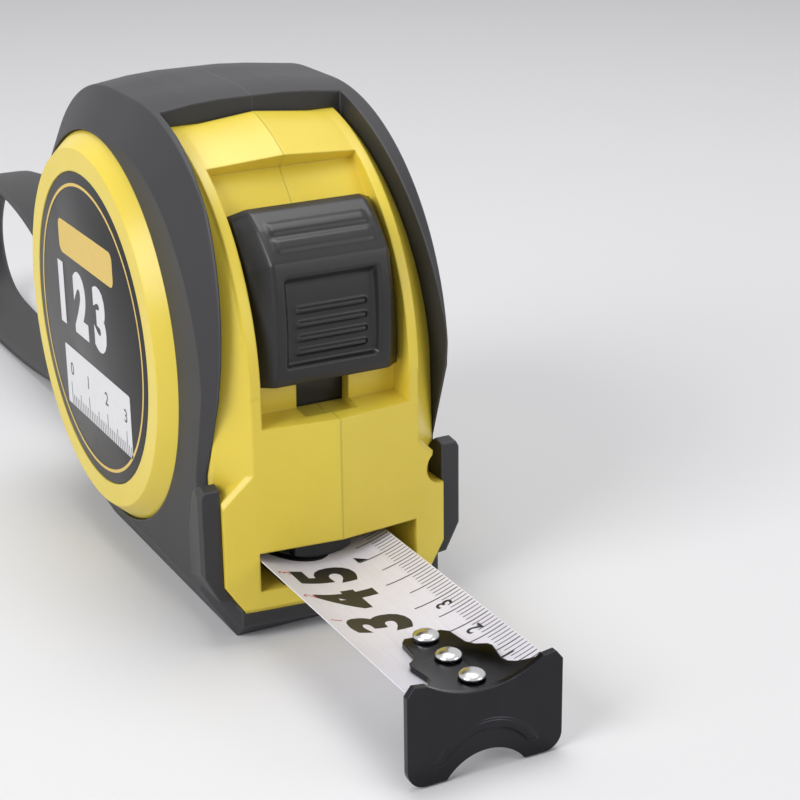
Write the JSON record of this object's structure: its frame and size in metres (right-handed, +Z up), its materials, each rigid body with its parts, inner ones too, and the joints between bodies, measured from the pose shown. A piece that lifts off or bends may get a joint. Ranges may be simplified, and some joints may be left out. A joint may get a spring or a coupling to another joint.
{
  "type": "tape measure",
  "caption": "Pocket tape measure: plastic case in a rubber jacket, cupped steel blade with end hook, thumb lock, wrist strap and belt clip.",
  "frame": {"origin": "on the base, in the joint plane of the two case halves, straight below the reel's axis", "axes": "+X out of the mouth along the blade, +Y towards the belt clip, +Z up"},
  "size_m": [0.274, 0.057, 0.0888],
  "materials": {
    "yellow_plastic": "gloss",
    "black_rubber": "matte",
    "dark_plastic": "matte",
    "slider_plastic": "satin",
    "shoe_rubber": "matte",
    "label_film": "satin",
    "steel": "brushed",
    "rivet_chrome": "polished",
    "black_chrome": "polished",
    "white_blade": "satin",
    "strap_fabric": "woven"
  },
  "bodies": {
    "case": {"right_shell": "yellow_plastic", "left_shell": "yellow_plastic", "right_jacket": "black_rubber", "left_jacket": "black_rubber", "left_label": "label_film", "right_label": "label_film", "centre_post": "steel", "post_screws": "steel", "case_screws": "steel", "blade_pad": "dark_plastic", "power_spring": "steel", "blade_feed": "white_blade", "strap_pin": "steel", "strap_clasp": "dark_plastic", "wrist_strap": "strap_fabric", "belt_clip": "steel", "clip_screw": "steel"},
    "reel": {"reel_drum": "dark_plastic", "reel_cover": "dark_plastic", "blade_coil": "white_blade"},
    "blade_body": {"blade": "white_blade", "hook_rivets": "rivet_chrome", "rivet_plate": "steel"},
    "hook_body": {"hook": "black_chrome"},
    "lock": {"lock_slider": "slider_plastic", "lock_carrier": "dark_plastic"},
    "brake": {"brake_shoe": "shoe_rubber"}
  },
  "joints": [
    {"name": "reel_spin", "type": "hinge", "parent": "case", "child": "reel", "pos_m": [0, 0, 0.0435], "axis": [0, -1, 0], "range_deg": [-105, 30], "deforming": ["power_spring", "blade_feed", "brake_shoe"]},
    {"name": "blade_slide", "type": "slide", "parent": "case", "child": "blade_body", "axis": [1, 0, 0], "range_m": [-0.0516, 0.015], "deforming": ["power_spring", "blade_feed", "brake_shoe"]},
    {"name": "hook_play", "type": "slide", "parent": "blade_body", "child": "hook_body", "axis": [1, 0, 0], "range_m": [0, 0.001]},
    {"name": "lock_slide", "type": "hinge", "parent": "case", "child": "lock", "pos_m": [0, 0, 0.0435], "axis": [0, -1, 0], "range_deg": [0, 9.5]},
    {"name": "brake_lift", "type": "slide", "parent": "case", "child": "brake", "axis": [0, 0, 1], "range_m": [0, 0.003]}
  ],
  "couplings": [
    {"joint": "blade_slide", "follows": "reel_spin", "m_per_rad": 0.028},
    {"joint": "brake_lift", "follows": "lock_slide", "m_per_rad": 0.0175}
  ]
}
